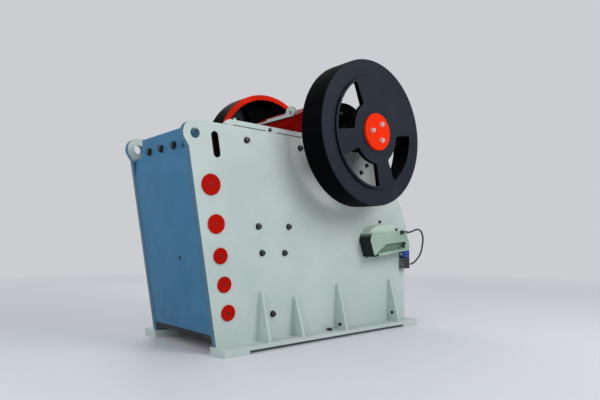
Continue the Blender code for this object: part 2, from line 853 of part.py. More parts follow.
def make_pitman():
    outline = pitman_outline()
    pitman = profile_plate("pitman", outline, -pitman_half, pitman_half, red_paint)
    centre = (eccentric_station, eccentric_height)
    barrel = cylinder_y("barrel", centre, barrel_radius, -barrel_half, barrel_half, steps=barrel_steps)
    join(pitman, barrel)
    bore_radius = eccentric_radius + running_clearance
    past = barrel_half + cut_over
    cut(pitman, cylinder_y("barrel_bore", centre, bore_radius, -past, past, steps=journal_steps))
    groove = toggle_end_radius + open_pivot_gap
    cut(pitman, cylinder_y("toggle_groove", on_toggle(0.0), groove, -past, past, steps=24))
    bay = (2 * pitman_half - pocket_rib) / pocket_count
    seat = (die_thickness + tooth_depth + touch_gap + pocket_wall) / math.cos(jaw_lean)
    low, high = pocket_bottom_height, pocket_top_height
    low_wall, high_wall = moving_face(low) + seat, moving_face(high) + seat
    pocket = [(low_wall, low), (low_wall + pocket_reach, low),
              (high_wall + pocket_reach, high - pocket_roof_fall), (high_wall + pocket_corner_length, high),
              (high_wall, high - pocket_corner_height)]
    for number in range(pocket_count):
        start = -pitman_half + pocket_rib + number * bay
        cut(pitman, profile_plate("pitman_pocket", pocket, start, start + bay - pocket_rib))
    eye = on_rod(0.0)
    ear = circle(eye, rod_ear_radius, 20)
    root, root_half = rod_ear_root_height, rod_ear_root_half
    stem = [(eye[0] - rod_ear_radius, eye[1]), (eye[0] + rod_ear_radius, eye[1]),
            (eye[0] + root_half, root), (eye[0] - root_half, root)]
    for name, sign in sides():
        low_y, high_y = span(sign, rod_ear_inner, rod_ear_outer)
        join(pitman, profile_plate("rod_ear", ear, low_y, high_y))
        join(pitman, profile_plate("rod_ear_stem", stem, low_y, high_y))
    join(pitman, cylinder_y("rod_pin", eye, rod_pin_radius, -rod_pin_half, rod_pin_half, steps=20))
    return pitman


def make_guard():
    """Lip along the pitman's nose, high on the left half, with a lifting lug at each end."""
    half = pitman_half - guard_lap
    low = nose_height - guard_lap
    bar_high = nose_height + guard_height
    bar_low = nose_height + guard_low_height
    lug_y = half - guard_lug_inset
    outline = [(-half, low), (half, low)]
    outline += arc((lug_y, bar_high), guard_lug_radius, 0.0, math.pi, 14)
    outline += [(lug_y - guard_lug_radius, bar_low), (-guard_start, bar_low), (-guard_start, bar_high)]
    outline += arc((-lug_y, bar_high), guard_lug_radius, 0.0, math.pi, 14)
    holes = [circle((lug_y, bar_high), guard_lug_hole_radius, 16),
             circle((-lug_y, bar_high), guard_lug_hole_radius, 16)]
    source = flat_curve("guard_outline", [outline, *holes], guard_thickness)
    turn = Matrix(((0.0, 0.0, 1.0), (1.0, 0.0, 0.0), (0.0, 1.0, 0.0))).to_4x4()
    place = along(nose_station) - guard_thickness / 2 - touch_gap
    source.matrix_world = Matrix.Translation((place, 0.0, 0.0)) @ turn
    return curve_to_piece("nose_guard", source, mint_paint)


# Toggle, setting wedges and tension rod

def make_toggle():
    """A dumb-bell plate, a seat block and two opposed wedges against the rear end."""
    web = toggle_web_thickness / 2
    neck = math.asin(web / toggle_end_radius)
    rear = on_toggle(toggle_length)
    front = on_toggle(0.0)
    outline = arc(front, toggle_end_radius, toggle_tilt + neck, toggle_tilt + 2 * math.pi - neck, 16)
    back = toggle_tilt + math.pi
    outline += arc(rear, toggle_end_radius, back + neck, back + 2 * math.pi - neck, 16)
    profile_plate("toggle_plate", outline, -toggle_half_width, toggle_half_width, jaw_steel)

    half = half_inner - seat_side_gap
    start, end = toggle_length + seat_front_gap, toggle_length + seat_thickness
    tall = seat_height / 2
    block = [on_toggle(start, -tall), on_toggle(end, -tall), on_toggle(end, tall), on_toggle(start, tall)]
    seat = profile_plate("toggle_seat", block, -half, half, jaw_steel)
    groove = toggle_end_radius + touch_gap
    cut(seat, cylinder_y("seat_groove", rear, groove, -half_inner, half_inner))

    gap = touch_gap
    near = toggle_length + seat_thickness + gap
    far = near + wedge_thin + wedge_thick
    out = half_outer + wedge_stick_out
    slope = (wedge_thick - wedge_thin) / (2 * half)
    split_left = near + wedge_thick + slope * (out - half)
    split_right = near + wedge_thin
    front_wedge = [(-out, near), (half, near), (half, split_right), (-out, split_left)]
    rear_wedge = [(-half, near + wedge_thick + gap), (out, split_right - slope * (out - half) + gap),
                  (out, far), (-half, far)]
    middle = on_toggle(0.0)
    for name, outline in (("wedge_front", front_wedge), ("wedge_rear", rear_wedge)):
        source = flat_curve(name + "_outline", [outline], wedge_height)
        width_axis = Vector((0.0, 1.0, 0.0))
        depth_axis = Vector((toggle_axis[0], 0.0, toggle_axis[1]))
        turn = Matrix((width_axis, depth_axis, width_axis.cross(depth_axis))).transposed().to_4x4()
        source.matrix_world = Matrix.Translation((along(middle[0]), 0.0, middle[1])) @ turn
        curve_to_piece(name, source, bright_steel)


def rear_end_start():
    return toggle_length + seat_thickness + wedge_thin + wedge_thick + 2 * touch_gap


def make_rear_end():
    half = half_inner - touch_gap
    start = rear_end_start()
    back = frame_length
    low, high = rear_end_low_height, rear_top_height
    outline = [on_toggle(start, rear_end_half_height), on_toggle(start, -rear_end_half_height),
               (back - rear_end_low_length, low), (back, low), (back, high - rear_bulge_drops[0]),
               (back - rear_end_corner, high - rear_end_corner), (back - rear_end_top_length, high)]
    rear_end = profile_plate("rear_end", outline, -half, half, mint_paint)
    near = spring_seat_distance - spring_plate_thickness
    far = spring_seat_distance
    tall = spring_plate_height / 2
    wide = spring_plate_half_width
    root, setback = low + spring_bracket_bite, back - spring_bracket_setback
    bracket = [on_rod(near, -tall), on_rod(far, -tall), on_rod(far, tall), (setback, root),
               (setback - spring_bracket_root, root), on_rod(near, tall)]
    join(rear_end, profile_plate("spring_bracket", bracket, -wide, wide))
    cut(rear_end, rod_cylinder("rod_hole", near - cut_over, far + cut_over, rod_radius + touch_gap))


def rod_cylinder(name, start, end, radius, material=None, steps=24):
    """A round bar along the tension rod's axis."""
    low = on_rod(start)
    bpy.ops.mesh.primitive_cylinder_add(vertices=steps, radius=radius, depth=end - start)
    bar = bpy.context.object
    bar.name = name
    for holder in list(bar.users_collection):
        holder.objects.unlink(bar)
    parts.objects.link(bar)
    middle = on_rod((start + end) / 2)
    bar.location = (along(middle[0]), 0.0, middle[1])
    bar.rotation_euler = (0.0, math.pi / 2 - rod_tilt, 0.0)
    bar.data.name = name
    if material is not None:
        bar.data.materials.append(material)
    return bar


def make_tension_rod():
    eye_hole = rod_pin_radius + eccentric_throw * 2 + moving_clearance
    eye_radius = eye_hole + rod_eye_wall
    ring = circle(on_rod(0.0), eye_radius, 32)
    eye = profile_plate("tension_rod", ring, -rod_eye_half, rod_eye_half, bright_steel)
    join(eye, rod_cylinder("rod_bar", eye_radius - weld_lap, rod_length, rod_radius))
    cut(eye, cylinder_y("eye_hole", on_rod(0.0), eye_hole, -rod_ear_inner, rod_ear_inner))
    cap_start = spring_seat_distance + spring_length
    cap_end = cap_start + spring_cap_thickness
    cap = rod_cylinder("spring_cap", cap_start + touch_gap, cap_end, spring_radius + spring_cap_overhang,
                       black_paint, 32)
    cut(cap, rod_cylinder("cap_hole", cap_start - cut_over, cap_end + cut_over, rod_radius + touch_gap))


def make_spring():
    """A coil from the rear end's bracket to the cap, with half a turn closed at each end."""
    curve = bpy.data.curves.new("spring_path", "CURVE")
    curve.dimensions = "3D"
    curve.bevel_depth = spring_wire_radius
    curve.bevel_resolution = 1
    curve.use_fill_caps = True
    spline = curve.splines.new("POLY")
    count = spring_turns * spring_steps
    spline.points.add(count)
    slack = spring_wire_radius - spring_end_ground + touch_gap
    travel = spring_length - 2 * slack
    for number, point in enumerate(spline.points):
        angle = 2 * math.pi * number / spring_steps
        turns = min(max(number / spring_steps - 0.5, 0.0), spring_turns - 1)
        place = slack + travel * turns / (spring_turns - 1)
        point.co = (spring_radius * math.cos(angle), spring_radius * math.sin(angle), place, 1.0)
    source = bpy.data.objects.new("spring_path", curve)
    parts.objects.link(source)
    low = on_rod(spring_seat_distance)
    source.location = (along(low[0]), 0.0, low[1])
    source.rotation_euler = (0.0, math.pi / 2 - rod_tilt, 0.0)
    curve_to_piece("return_spring", source, orange_paint)


# Adjusters and hydraulics

def from_hose_port(points):
    return [(hose_port_station + ahead, hose_port_height + above) for ahead, above in points]


def make_adjusters():
    """Housings over the wedge ends, one on each side plate."""
    for name, sign in sides():
        near, far = half_outer + touch_gap, half_outer + adjuster_reach
        low_y, high_y = span(sign, near, far)
        body = from_hose_port(adjuster_body)
        housing = profile_plate("adjuster_" + name, body, low_y, high_y, mint_paint)
        low_y, high_y = span(sign, near, half_outer + adjuster_hood_reach)
        join(housing, profile_plate("adjuster_hood", from_hose_port(adjuster_hood), low_y, high_y))
        low_y, high_y = span(sign, far - adjuster_recess_depth, far + adjuster_recess_depth)
        cut(housing, profile_plate("adjuster_recess", from_hose_port(adjuster_recess), low_y, high_y))
        low_y, high_y = span(sign, half_inner, far - adjuster_wall)
        cut(housing, profile_plate("adjuster_hollow", wedge_window(), low_y, high_y))


def make_hydraulics():
    start, end = block_station, block_station + block_length
    outline = [(start, block_low_height), (end, block_low_height), (end, block_rear_height),
               (start, block_front_height)]
    near = half_outer + touch_gap
    profile_plate("valve_block", outline, -near - block_depth, -near, hydraulic_blue)
    y = -near - block_depth / 2
    route = [(hose_port_station + lead, hose_port_height) for lead in (touch_gap, *hose_port_leads)]
    route += hose_loop
    route += [(end + lead, hose_end_height) for lead in (*hose_block_leads, touch_gap)]
    curve = bpy.data.curves.new("hose_path", "CURVE")
    curve.dimensions = "3D"
    curve.bevel_depth = hose_radius
    curve.bevel_resolution = 2
    curve.use_fill_caps = True
    spline = curve.splines.new("POLY")
    smooth = smooth_route(route, 2)
    spline.points.add(len(smooth) - 1)
    for point, (station, height) in zip(spline.points, smooth):
        point.co = (along(station), y, height, 1.0)
    source = bpy.data.objects.new("hose_path", curve)
    parts.objects.link(source)
    curve_to_piece("adjuster_hose", source, hose_rubber)


def smooth_route(points, steps):
    """Catmull-Rom points through a route."""
    ends = [points[0]] + list(points) + [points[-1]]
    result = []
    for index in range(1, len(ends) - 2):
        before, start, end, after = ends[index - 1:index + 3]
        for step in range(steps):
            t = step / steps
            result.append(tuple(
                0.5 * (2 * start[k] + (end[k] - before[k]) * t
                       + (2 * before[k] - 5 * start[k] + 4 * end[k] - after[k]) * t * t
                       + (3 * start[k] - before[k] - 3 * end[k] + after[k]) * t ** 3)
                for k in range(2)))
    result.append(tuple(points[-1]))
    return result


def hold_on_axis(name, station, height, pieces):
    """An empty on a joint's axis, with the pieces that turn about it."""
    axis = bpy.data.objects.new(name, None)
    parts.objects.link(axis)
    axis.location = (along(station), 0.0, height)
    bpy.context.view_layer.update()
    for piece in pieces:
        place = piece.matrix_world.copy()
        piece.parent = axis
        piece.matrix_world = place


make_side_plates()
make_front()
make_pins()
make_rails()
make_feet()
make_dies()
make_cheeks()
make_bearings()
rotor_pieces = make_wheels()
pitman_pieces = [make_pitman(), make_guard(), bpy.data.objects["moving_jaw_die"]]
make_toggle()
make_rear_end()
make_tension_rod()
make_spring()
make_adjusters()
make_hydraulics()
hold_on_axis("shaft_axis", shaft_station, shaft_height, rotor_pieces)
hold_on_axis("pitman_axis", eccentric_station, eccentric_height, pitman_pieces)
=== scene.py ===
import bpy
import bmesh
import json
import math
from mathutils import Matrix, Vector


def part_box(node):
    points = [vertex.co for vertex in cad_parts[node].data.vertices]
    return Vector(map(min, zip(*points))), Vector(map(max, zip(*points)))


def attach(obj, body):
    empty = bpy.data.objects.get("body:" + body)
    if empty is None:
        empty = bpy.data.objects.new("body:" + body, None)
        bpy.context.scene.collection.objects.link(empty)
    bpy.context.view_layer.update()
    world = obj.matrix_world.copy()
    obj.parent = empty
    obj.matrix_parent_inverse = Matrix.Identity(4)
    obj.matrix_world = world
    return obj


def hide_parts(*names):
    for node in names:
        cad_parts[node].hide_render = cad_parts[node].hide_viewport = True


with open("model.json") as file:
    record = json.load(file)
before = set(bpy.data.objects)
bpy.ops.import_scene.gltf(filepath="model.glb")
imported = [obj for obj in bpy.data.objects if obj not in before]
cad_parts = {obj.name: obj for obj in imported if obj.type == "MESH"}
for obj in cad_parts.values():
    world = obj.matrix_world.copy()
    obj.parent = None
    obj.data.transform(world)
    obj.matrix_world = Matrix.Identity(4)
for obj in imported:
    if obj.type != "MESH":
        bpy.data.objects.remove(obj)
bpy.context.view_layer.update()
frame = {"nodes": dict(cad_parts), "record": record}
nodes = frame["nodes"]
print("frame loaded:", len(nodes), "nodes")

shaft = {"x": 0.32015, "z": 2.496}
plateFace = 0.70  # outer face of each side plate, measured from the middle
sides = (("left", -1), ("right", 1))


# Camera

cameraSettings = {"place": (-4.4809, -5.219, 1.169), "yaw": 41.81, "pitch": 4.55, "roll": 0.22, "lens": 30.6,
                  "sensor": 36.0}


def makeCamera(settings):
    data = bpy.data.cameras.new("camera")
    data.lens = settings["lens"]
    data.sensor_width = settings["sensor"]
    view = bpy.data.objects.new("camera", data)
    bpy.context.scene.collection.objects.link(view)
    yaw, pitch = math.radians(settings["yaw"]), math.radians(settings["pitch"])
    forward = Vector((math.sin(yaw) * math.cos(pitch), math.cos(yaw) * math.cos(pitch), math.sin(pitch)))
    turn = forward.to_track_quat("-Z", "Y").to_matrix().to_4x4()
    roll = Matrix.Rotation(math.radians(settings["roll"]), 4, "Z")
    view.matrix_world = Matrix.Translation(settings["place"]) @ turn @ roll
    bpy.context.scene.camera = view


makeCamera(cameraSettings)
print("camera placed")


# Finishes

def newFinish(name):
    finish = bpy.data.materials.new(name)
    finish.use_nodes = True
    tree = finish.node_tree
    tree.nodes.clear()
    output = tree.nodes.new("ShaderNodeOutputMaterial")
    shader = tree.nodes.new("ShaderNodeBsdfPrincipled")
    tree.links.new(shader.outputs["BSDF"], output.inputs["Surface"])
    return finish, tree, shader


def addNoise(tree, place, scale, detail, rough=0.55):
    noise = tree.nodes.new("ShaderNodeTexNoise")
    noise.inputs["Scale"].default_value = scale
    noise.inputs["Detail"].default_value = detail
    noise.inputs["Roughness"].default_value = rough
    tree.links.new(place, noise.inputs["Vector"])
    return noise.outputs["Fac"]


def addRange(tree, value, low, high, outLow=0.0, outHigh=1.0):
    span = tree.nodes.new("ShaderNodeMapRange")
    span.inputs["From Min"].default_value = low
    span.inputs["From Max"].default_value = high
    span.inputs["To Min"].default_value = outLow
    span.inputs["To Max"].default_value = outHigh
    tree.links.new(value, span.inputs["Value"])
    return span.outputs["Result"]


def addPatches(tree, place, pattern):  # noise, spread between the pattern's limits
    noise = addNoise(tree, place, pattern["scale"], pattern["detail"], pattern["rough"])
    return addRange(tree, noise, *pattern["limits"])


def addSmear(tree, place, pattern, rough):  # roughness, duller and shinier in patches
    noise = addNoise(tree, place, pattern["scale"], pattern["detail"], pattern["rough"])
    shiny, dull = pattern["change"]
    return addRange(tree, noise, *pattern["limits"], rough + shiny, rough + dull)


def addMath(tree, operation, first, second=0.0):
    step = tree.nodes.new("ShaderNodeMath")
    step.operation = operation
    for socket, value in zip(step.inputs, (first, second)):
        if isinstance(value, (int, float)):
            socket.default_value = value
        else:
            tree.links.new(value, socket)
    return step.outputs["Value"]


def addMix(tree, factor, first, second):
    mix = tree.nodes.new("ShaderNodeMix")
    mix.data_type = "RGBA"
    tree.links.new(factor, mix.inputs["Factor"])
    for name, value in (("A", first), ("B", second)):
        socket = [s for s in mix.inputs if s.name == name and s.type == "RGBA"][0]
        if isinstance(value, tuple):
            socket.default_value = (*value, 1.0)
        else:
            tree.links.new(value, socket)
    return [s for s in mix.outputs if s.type == "RGBA"][0]


def addSplit(tree, vector):
    split = tree.nodes.new("ShaderNodeSeparateXYZ")
    tree.links.new(vector, split.inputs["Vector"])
    return split.outputs


def addGrain(tree, shader, place, settings, grain):  # a fine raised texture
    bump = tree.nodes.new("ShaderNodeBump")
    bump.inputs["Strength"].default_value = grain["strength"]
    bump.inputs["Distance"].default_value = settings["grainDepth"]
    tree.links.new(addNoise(tree, place, settings["grain"], grain["detail"]), bump.inputs["Height"])
    tree.links.new(bump.outputs["Normal"], shader.inputs["Normal"])


# bend: the cosine between the rounded and the flat surface where worn edges and painted edge highlights start
# and where they are full
wearAndHighlightSettings = {"radius": 0.006, "samples": 4, "bend": (0.98, 0.85),
                "patches": {"scale": 23.0, "detail": 5.0, "rough": 0.55, "limits": (0.48, 0.62)}}


# worn edges, and on dark paints lighter edges that are a painted highlight
def edgeWearAndHighlight(tree, place, amount, settings=wearAndHighlightSettings):  # where the surface turns sharply, in patches
    rounded = tree.nodes.new("ShaderNodeBevel")
    rounded.samples = settings["samples"]
    rounded.inputs["Radius"].default_value = settings["radius"]
    flat = tree.nodes.new("ShaderNodeNewGeometry")
    dot = tree.nodes.new("ShaderNodeVectorMath")
    dot.operation = "DOT_PRODUCT"
    tree.links.new(rounded.outputs["Normal"], dot.inputs[0])
    tree.links.new(flat.outputs["Normal"], dot.inputs[1])
    edge = addRange(tree, dot.outputs["Value"], *settings["bend"])
    patches = addPatches(tree, place, settings["patches"])
    return addMath(tree, "MULTIPLY", addMath(tree, "MULTIPLY", edge, patches), amount)


# patches of another colour on a paint, within limits in metres, with a soft border as wide as the blur;
# y is measured from the middle, and facing is how far a face looks rearwards
zoneSettings = {
    "platePaint": (  # painted shade: blue front edge and inner face before the panel, dark walls of the slot
        # painted shade: the front's blue shade on the faces that look forward
        {"colour": (0.055, 0.150, 0.225), "blur": 0.12,
         "limits": {"facing": (-2.0, -0.55), "x": (-3.0, -1.20)}},
        # painted shade: the front's blue shade on the inner faces before the panel
        {"colour": (0.042, 0.115, 0.165), "blur": 0.02,
         "limits": {"y": (0.50, 0.645), "x": (-3.0, -1.20), "z": (-1.0, 2.12)}},
        # painted shade: the walls of the slot darkened near black
        {"colour": (0.012, 0.001, 0.001), "blur": 0.0004,
         "limits": {"x": (-1.72, -1.53), "z": (1.98, 2.36), "y": (0.60, 0.6985)}}),
    "adjusterPaint": (  # painted shade on the dark front end and the recess below the hood; pale hood
        # painted shade: the end that looks forward is darkened, as if open and dark inside
        {"colour": (0.002, 0.010, 0.006), "blur": 0.05,
         "limits": {"facing": (-2.0, -0.55), "z": (0.50, 1.262)}},
        {"colour": (0.455, 0.565, 0.500), "blur": 0.004, "limits": {"y": (0.60, 0.875), "z": (1.262, 1.60)}},
        # painted shade: the faces of the recess below the hood darkened
        {"colour": (0.120, 0.190, 0.140), "blur": 0.003,
         "limits": {"y": (0.60, 0.885), "x": (0.76, 1.40), "z": (0.98, 1.17)}}),
    "bluePaint": (  # painted shade along the panel's foot, where the space under the machine lies dark
        {"colour": (0.006, 0.008, 0.010), "blur": 0.002, "limits": {"z": (0.0, 0.190)}},),
    "frontEndPaint": (  # painted shade: blue corners beside the lugs, dark ends behind the slots
        # painted shade: the pockets beside the lugs in the front's blue shade
        {"colour": (0.050, 0.150, 0.210), "blur": 0.004,
         "limits": {"y": (0.44, 0.618), "x": (-3.0, -1.55), "z": (2.08, 2.60)}},
        # painted shade: the ends inside the slots darkened near black
        {"colour": (0.010, 0.001, 0.001), "blur": 0.0004, "limits": {"y": (0.6185, 0.70)}}),
    "bearingPaint": (  # mint below the shaft's axis
        {"colour": (0.420, 0.500, 0.475), "blur": 0.0004, "limits": {"z": (0.0, shaft["z"])}},),
    "hydraulicBlue": (  # black lower half of the valve block
        {"colour": (0.012, 0.013, 0.015), "blur": 0.001, "limits": {"z": (0.0, 0.942)}},),
}


def zoneMask(tree, coordinates, zone):  # 1 inside the zone's limits
    place = addSplit(tree, coordinates.outputs["Object"])
    facing = addSplit(tree, coordinates.outputs["Normal"])
    blur = zone["blur"]
    mask = None
    for axis, (low, high) in zone["limits"].items():
        value = facing["X"] if axis == "facing" else place[axis.upper()]
        if axis == "y":
            value = addMath(tree, "ABSOLUTE", value)
        step = addMath(tree, "MULTIPLY", addRange(tree, value, low - blur, low + blur),
                       addRange(tree, value, high + blur, high - blur))
        mask = step if mask is None else addMath(tree, "MULTIPLY", mask, step)
    return mask


# chipAndHighlight is the colour at sharp edges: worn paint on pale paints, a lighter painted highlight on dark
# ones
paintSettings = {
    "mintPaint": {
        "colour": (0.485, 0.565, 0.545), "shade": (0.425, 0.510, 0.490), "chipAndHighlight": (0.30, 0.31, 0.30),
        "rough": 0.44, "gloss": 0.35, "grain": 60.0, "grainDepth": 0.0004, "dust": 0.25, "wearAndHighlight": 0.35},
    "platePaint": {
        "colour": (0.485, 0.565, 0.545), "shade": (0.425, 0.510, 0.490), "chipAndHighlight": (0.30, 0.31, 0.30),
        "rough": 0.44, "gloss": 0.35, "grain": 60.0, "grainDepth": 0.0004, "dust": 0.25, "wearAndHighlight": 0.30},
    "adjusterPaint": {
        "colour": (0.330, 0.440, 0.375), "shade": (0.240, 0.350, 0.285), "chipAndHighlight": (0.20, 0.24, 0.21),
        "rough": 0.40, "gloss": 0.24, "grain": 50.0, "grainDepth": 0.0006, "dust": 0.20, "wearAndHighlight": 0.5},
    # painted shade: the front panel's colour is the deep blue shade that lies on the machine's front
    "bluePaint": {
        "colour": (0.034, 0.163, 0.300), "shade": (0.027, 0.140, 0.262), "chipAndHighlight": (0.22, 0.26, 0.28),
        "rough": 0.42, "gloss": 0.25, "grain": 60.0, "grainDepth": 0.0004, "dust": 0.15, "wearAndHighlight": 0.35},
    "redPaint": {
        "colour": (0.270, 0.0010, 0.0004), "shade": (0.205, 0.001, 0.0004), "chipAndHighlight": (0.08, 0.04, 0.035),
        "rough": 0.56, "gloss": 0.04, "grain": 26.0, "grainDepth": 0.0008, "dust": 0.10, "wearAndHighlight": 0.5},
    "frontEndPaint": {
        "colour": (0.110, 0.0025, 0.003), "shade": (0.080, 0.002, 0.003), "chipAndHighlight": (0.08, 0.05, 0.045),
        "rough": 0.50, "gloss": 0.25, "grain": 26.0, "grainDepth": 0.0016, "dust": 0.10, "wearAndHighlight": 0.4},
    "orangePaint": {
        "colour": (0.440, 0.0035, 0.0), "shade": (0.350, 0.0025, 0.0), "chipAndHighlight": (0.12, 0.04, 0.03),
        "rough": 0.54, "gloss": 0.05, "grain": 34.0, "grainDepth": 0.0008, "dust": 0.06, "wearAndHighlight": 0.4},
    "hubPaint": {
        "colour": (0.860, 0.026, 0.0), "shade": (0.740, 0.020, 0.0), "chipAndHighlight": (0.20, 0.10, 0.08),
        "rough": 0.48, "gloss": 0.05, "grain": 50.0, "grainDepth": 0.0004, "dust": 0.0, "wearAndHighlight": 0.2},
    "blackPaint": {
        "colour": (0.014, 0.016, 0.020), "shade": (0.009, 0.010, 0.013), "chipAndHighlight": (0.11, 0.11, 0.11),
        "rough": 0.48, "gloss": 0.25, "grain": 30.0, "grainDepth": 0.0010, "dust": 0.08, "wearAndHighlight": 0.5},
    "bearingPaint": {
        "colour": (0.014, 0.016, 0.020), "shade": (0.009, 0.010, 0.013), "chipAndHighlight": (0.11, 0.11, 0.11),
        "rough": 0.45, "gloss": 0.28, "grain": 30.0, "grainDepth": 0.0008, "dust": 0.0, "wearAndHighlight": 0.4},
    "wheelFace": {
        "colour": (0.011, 0.016, 0.026), "shade": (0.007, 0.011, 0.018), "chipAndHighlight": (0.09, 0.09, 0.10),
        "rough": 0.46, "gloss": 0.13, "grain": 45.0, "grainDepth": 0.0007, "dust": 0.0, "wearAndHighlight": 0.35},
    # black of the tread, also used as painted shade on the wheel's walls
    "wheelTreadAndWallShade": {
        "colour": (0.0012, 0.0012, 0.0016), "shade": (0.0006, 0.0006, 0.0009), "chipAndHighlight": (0.03, 0.03, 0.03),
        "rough": 0.60, "gloss": 0.025, "grain": 80.0, "grainDepth": 0.0003, "dust": 0.0, "wearAndHighlight": 0.3},
    "wheelRing": {
        "colour": (0.900, 0.022, 0.0), "shade": (0.620, 0.012, 0.0), "chipAndHighlight": (0.15, 0.05, 0.03),
        "rough": 0.50, "gloss": 0.06, "grain": 40.0, "grainDepth": 0.0006, "dust": 0.0, "wearAndHighlight": 0.3},
    "hydraulicBlue": {
        "colour": (0.016, 0.050, 0.330), "shade": (0.012, 0.036, 0.240), "chipAndHighlight": (0.20, 0.20, 0.21),
        "rough": 0.36, "gloss": 0.40, "grain": 70.0, "grainDepth": 0.0003, "dust": 0.0, "wearAndHighlight": 0.5},
    "weldPaint": {
        "colour": (0.470, 0.550, 0.530), "shade": (0.390, 0.470, 0.450), "chipAndHighlight": (0.25, 0.25, 0.24),
        "rough": 0.46, "gloss": 0.35, "grain": 70.0, "grainDepth": 0.0040, "dust": 0.30, "wearAndHighlight": 0.0},
}

# what all paints share: clouds in the colour, dust up to a height above the floor, smears in the gloss
paintPattern = {
    "cloud": {"scale": 1.4, "detail": 4.0, "rough": 0.55, "limits": (0.35, 0.65)},
    "speck": {"scale": 7.0, "detail": 6.0, "rough": 0.70, "limits": (0.45, 0.75)},
    "smear": {"scale": 5.0, "detail": 5.0, "rough": 0.55, "limits": (0.30, 0.70), "change": (-0.06, 0.10)},
    "grain": {"detail": 4.0, "strength": 0.35},
    "dust": {"height": 0.55, "colour": (0.36, 0.34, 0.30), "dull": 0.3},
}


def makePaint(name, settings, pattern):  # sprayed enamel with its zones, dust low down, and worn edges that are partly a painted highlight
    finish, tree, shader = newFinish(name)
    coordinates = tree.nodes.new("ShaderNodeTexCoord")
    place = coordinates.outputs["Object"]
    colour = addMix(tree, addPatches(tree, place, pattern["cloud"]), settings["colour"], settings["shade"])
    for zone in zoneSettings.get(name, ()):
        colour = addMix(tree, zoneMask(tree, coordinates, zone), colour, zone["colour"])
    low = addRange(tree, addSplit(tree, place)["Z"], pattern["dust"]["height"], 0.0)
    speck = addPatches(tree, place, pattern["speck"])
    dust = addMath(tree, "MULTIPLY", addMath(tree, "MULTIPLY", low, speck), settings["dust"])
    colour = addMix(tree, dust, colour, pattern["dust"]["colour"])
    colour = addMix(tree, edgeWearAndHighlight(tree, place, settings["wearAndHighlight"]), colour, settings["chipAndHighlight"])
    tree.links.new(colour, shader.inputs["Base Color"])
    smear = addSmear(tree, place, pattern["smear"], settings["rough"])
    rough = addMath(tree, "ADD", smear, addMath(tree, "MULTIPLY", dust, pattern["dust"]["dull"]))
    tree.links.new(rough, shader.inputs["Roughness"])
    shader.inputs["Specular IOR Level"].default_value = settings["gloss"]
    addGrain(tree, shader, place, settings, pattern["grain"])
    return finish


metalSettings = {
    "jawSteel": {"colour": (0.24, 0.23, 0.22), "shade": (0.13, 0.11, 0.095), "metal": 0.85, "rough": 0.55,
                 "grain": 38.0, "grainDepth": 0.0022},
    "brightSteel": {"colour": (0.60, 0.60, 0.61), "shade": (0.42, 0.42, 0.43), "metal": 1.0, "rough": 0.28,
                    "grain": 160.0, "grainDepth": 0.0002},
    "chrome": {"colour": (0.86, 0.87, 0.88), "shade": (0.70, 0.71, 0.73), "metal": 1.0, "rough": 0.14,
               "grain": 120.0, "grainDepth": 0.0001},
    "darkBolt": {"colour": (0.004, 0.005, 0.006), "shade": (0.012, 0.011, 0.010), "metal": 0.0, "rough": 0.34,
                 "grain": 140.0, "grainDepth": 0.0003},
    "zincNut": {"colour": (0.58, 0.58, 0.56), "shade": (0.40, 0.40, 0.38), "metal": 0.5, "rough": 0.36,
                "grain": 120.0, "grainDepth": 0.0002},
}

metalPattern = {
    "cloud": {"scale": 6.0, "detail": 6.0, "rough": 0.65, "limits": (0.35, 0.70)},
    "smear": {"scale": 14.0, "detail": 5.0, "rough": 0.55, "limits": (0.30, 0.70), "change": (-0.06, 0.12)},
    "grain": {"detail": 4.0, "strength": 0.35},
}

rubberSettings = {"colour": (0.010, 0.010, 0.011), "shade": (0.022, 0.021, 0.020), "metal": 0.0, "rough": 0.42,
                  "grain": 260.0, "grainDepth": 0.0004}

rubberPattern = {
    "cloud": {"scale": 40.0, "detail": 4.0, "rough": 0.55, "limits": (0.35, 0.65)},
    "smear": {"scale": 60.0, "detail": 3.0, "rough": 0.55, "limits": (0.30, 0.70), "change": (0.0, 0.18)},
    "grain": {"detail": 2.0, "strength": 0.30},
}


def makeBare(name, settings, pattern):  # unpainted metal or rubber, cloudy and smeared
    finish, tree, shader = newFinish(name)
    place = tree.nodes.new("ShaderNodeTexCoord").outputs["Object"]
    colour = addMix(tree, addPatches(tree, place, pattern["cloud"]), settings["colour"], settings["shade"])
    tree.links.new(colour, shader.inputs["Base Color"])
    tree.links.new(addSmear(tree, place, pattern["smear"], settings["rough"]), shader.inputs["Roughness"])
    shader.inputs["Metallic"].default_value = settings["metal"]
    addGrain(tree, shader, place, settings, pattern["grain"])
    return finish


finishes = {name: makePaint(name, settings, paintPattern) for name, settings in paintSettings.items()}
finishes.update({name: makeBare(name, settings, metalPattern) for name, settings in metalSettings.items()})
finishes["hoseRubber"] = makeBare("hoseRubber", rubberSettings, rubberPattern)
print("finishes made:", len(finishes))


# Pieces from the frame's own solids

def settle(name, form, finish, body, replaced=(), edge=0.0, sharp=35.0):
    mesh = bpy.data.meshes.new(name)
    form.to_mesh(mesh)
    form.free()
    for face in mesh.polygons:
        face.use_smooth = True
    mesh.set_sharp_from_angle(angle=math.radians(sharp))
    piece = bpy.data.objects.new(name, mesh)
    bpy.context.scene.collection.objects.link(piece)
    for one in (finish,) if isinstance(finish, str) else finish:
        mesh.materials.append(finishes[one])
    if edge > 0.0:
        soft = piece.modifiers.new("edges", "BEVEL")
        soft.width = edge
        soft.segments = 2
        soft.limit_method = "ANGLE"
        soft.angle_limit = math.radians(sharp)
        soft.harden_normals = True
    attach(piece, body)
    if replaced:
        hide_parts(*replaced)
    return piece


copySettings = {"merge": 0.00005, "flat": 0.6}  # distance between doubles, degrees between joined faces


